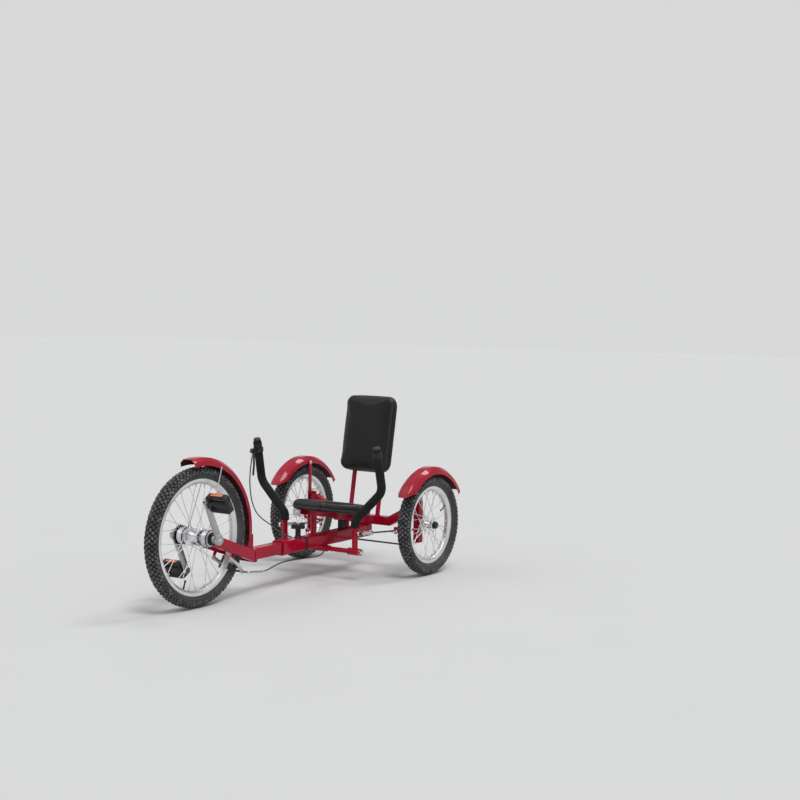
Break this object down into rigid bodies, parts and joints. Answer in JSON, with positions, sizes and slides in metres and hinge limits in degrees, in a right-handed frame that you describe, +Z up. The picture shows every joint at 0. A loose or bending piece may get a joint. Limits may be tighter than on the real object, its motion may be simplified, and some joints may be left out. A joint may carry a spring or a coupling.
{
  "type": "recumbent trike",
  "caption": "Front-drive recumbent trike: pedalled front wheel, steered rear wheels, side sticks, padded seat and fenders.",
  "frame": {"origin": "centre of the overall box, on the ground under the wheels", "axes": "+X to the rider's left, -Y ahead, +Z up"},
  "size_m": [0.732, 1.5334, 0.7273],
  "materials": {
    "frame_paint": "gloss",
    "tyre_rubber": "matt",
    "bright_metal": "polished",
    "satin_metal": "satin",
    "black_metal": "satin",
    "black_plastic": "matt",
    "seat_vinyl": "satin",
    "grip_foam": "matt",
    "cable_cover": "gloss"
  },
  "bodies": {
    "frame": {"main_beam": "frame_paint", "axle_beam": "frame_paint", "pivot_crossbar": "frame_paint", "seat_frame": "frame_paint", "seat_cushion": "seat_vinyl", "seat_block": "black_plastic", "back_post_left": "frame_paint", "back_post_right": "frame_paint", "back_cushion": "seat_vinyl", "clamp_knob": "black_plastic", "brake_cable_upper": "cable_cover", "brake_cable_lower": "cable_cover", "cable_tie": "black_plastic"},
    "boom": {"boom": "frame_paint", "fork_arm_left": "frame_paint", "fork_arm_right": "frame_paint", "bearing_housings": "satin_metal", "bearing_seals": "black_plastic", "front_fender": "frame_paint", "fender_post": "frame_paint", "fender_stays": "bright_metal", "brake_arms": "satin_metal", "brake_pads": "black_plastic", "brake_guide": "bright_metal"},
    "front_wheel": {"front_tyre": "tyre_rubber", "front_rim": "satin_metal", "front_spokes": "bright_metal", "front_hub": "satin_metal"},
    "crankset": {"crank_spindle": "bright_metal", "crank_left": "bright_metal", "crank_right": "bright_metal", "drive_cog": "black_metal"},
    "pedal_left": {"pedal_left": "black_plastic"},
    "pedal_right": {"pedal_right": "black_plastic"},
    "stick_left": {"stick_tube_left": "frame_paint", "stick_foam_left": "grip_foam"},
    "stick_right": {"stick_tube_right": "frame_paint", "stick_foam_right": "grip_foam", "brake_lever": "black_metal"},
    "knuckle_left": {"knuckle_left": "frame_paint", "steer_arm_left": "black_metal", "rear_fender_left": "frame_paint"},
    "knuckle_right": {"knuckle_right": "frame_paint", "steer_arm_right": "black_metal", "rear_fender_right": "frame_paint"},
    "rear_wheel_left": {"rear_left_tyre": "tyre_rubber", "rear_left_rim": "satin_metal", "rear_left_spokes": "bright_metal", "rear_left_hub": "satin_metal", "rear_left_hub_cap": "black_plastic"},
    "rear_wheel_right": {"rear_right_tyre": "tyre_rubber", "rear_right_rim": "satin_metal", "rear_right_spokes": "bright_metal", "rear_right_hub": "satin_metal", "rear_right_hub_cap": "black_plastic"},
    "drag_link_left": {"drag_link_left": "bright_metal"},
    "drag_link_right": {"drag_link_right": "bright_metal"},
    "tie_rod": {"tie_rod": "black_metal"}
  },
  "joints": [
    {"name": "boom_length", "type": "slide", "parent": "frame", "child": "boom", "axis": [0, -1, 0], "range_m": [-0.13, 0.07], "deforming": ["brake_cable_lower"]},
    {"name": "front_wheel_roll", "type": "hinge", "parent": "boom", "child": "front_wheel", "pos_m": [0, -0.50975, 0.257], "axis": [1, 0, 0], "continuous": true},
    {"name": "crank_turn", "type": "hinge", "parent": "boom", "child": "crankset", "pos_m": [0, -0.50975, 0.257], "axis": [1, 0, 0], "continuous": true},
    {"name": "pedal_left_spin", "type": "hinge", "parent": "crankset", "child": "pedal_left", "pos_m": [0.168, -0.57888, 0.40129], "axis": [1, 0, 0], "continuous": true},
    {"name": "pedal_right_spin", "type": "hinge", "parent": "crankset", "child": "pedal_right", "pos_m": [-0.168, -0.44062, 0.11271], "axis": [1, 0, 0], "continuous": true},
    {"name": "steer_left", "type": "hinge", "parent": "frame", "child": "knuckle_left", "pos_m": [0.265, 0.56025, 0.2], "axis": [0, 0, 1], "range_deg": [-16, 16]},
    {"name": "steer_right", "type": "hinge", "parent": "frame", "child": "knuckle_right", "pos_m": [-0.265, 0.56025, 0.2], "axis": [0, 0, 1], "range_deg": [-16, 16]},
    {"name": "rear_wheel_left_roll", "type": "hinge", "parent": "knuckle_left", "child": "rear_wheel_left", "pos_m": [0.325, 0.56025, 0.2065], "axis": [1, 0, 0], "continuous": true},
    {"name": "rear_wheel_right_roll", "type": "hinge", "parent": "knuckle_right", "child": "rear_wheel_right", "pos_m": [-0.325, 0.56025, 0.2065], "axis": [1, 0, 0], "continuous": true},
    {"name": "stick_left_swing", "type": "hinge", "parent": "frame", "child": "stick_left", "pos_m": [0.177, 0.24325, 0.12], "axis": [1, 0, 0], "range_deg": [-15.39, 15.39]},
    {"name": "stick_right_swing", "type": "hinge", "parent": "frame", "child": "stick_right", "pos_m": [-0.177, 0.24325, 0.12], "axis": [1, 0, 0], "range_deg": [-15.39, 15.39], "deforming": ["brake_cable_upper"]},
    {"name": "drag_link_left_pivot", "type": "hinge", "parent": "knuckle_left", "child": "drag_link_left", "pos_m": [0.193, 0.51625, 0.1727], "axis": [0, 0, 1], "range_deg": [-18.57, 18.57]},
    {"name": "drag_link_right_pivot", "type": "hinge", "parent": "knuckle_right", "child": "drag_link_right", "pos_m": [-0.193, 0.51625, 0.1727], "axis": [0, 0, 1], "range_deg": [-18.57, 18.57]},
    {"name": "tie_rod_pivot", "type": "hinge", "parent": "knuckle_left", "child": "tie_rod", "pos_m": [0.265, 0.51525, 0.119], "axis": [0, 0, 1], "range_deg": [-16, 16]}
  ],
  "couplings": [
    {"joint": "steer_right", "follows": "steer_left", "ratio": 1},
    {"joint": "stick_left_swing", "follows": "steer_left", "ratio": 0.96},
    {"joint": "stick_right_swing", "follows": "steer_left", "ratio": -0.96},
    {"joint": "drag_link_left_pivot", "follows": "steer_left", "ratio": -1.159},
    {"joint": "drag_link_right_pivot", "follows": "steer_left", "ratio": -1.159},
    {"joint": "tie_rod_pivot", "follows": "steer_left", "ratio": -1}
  ]
}
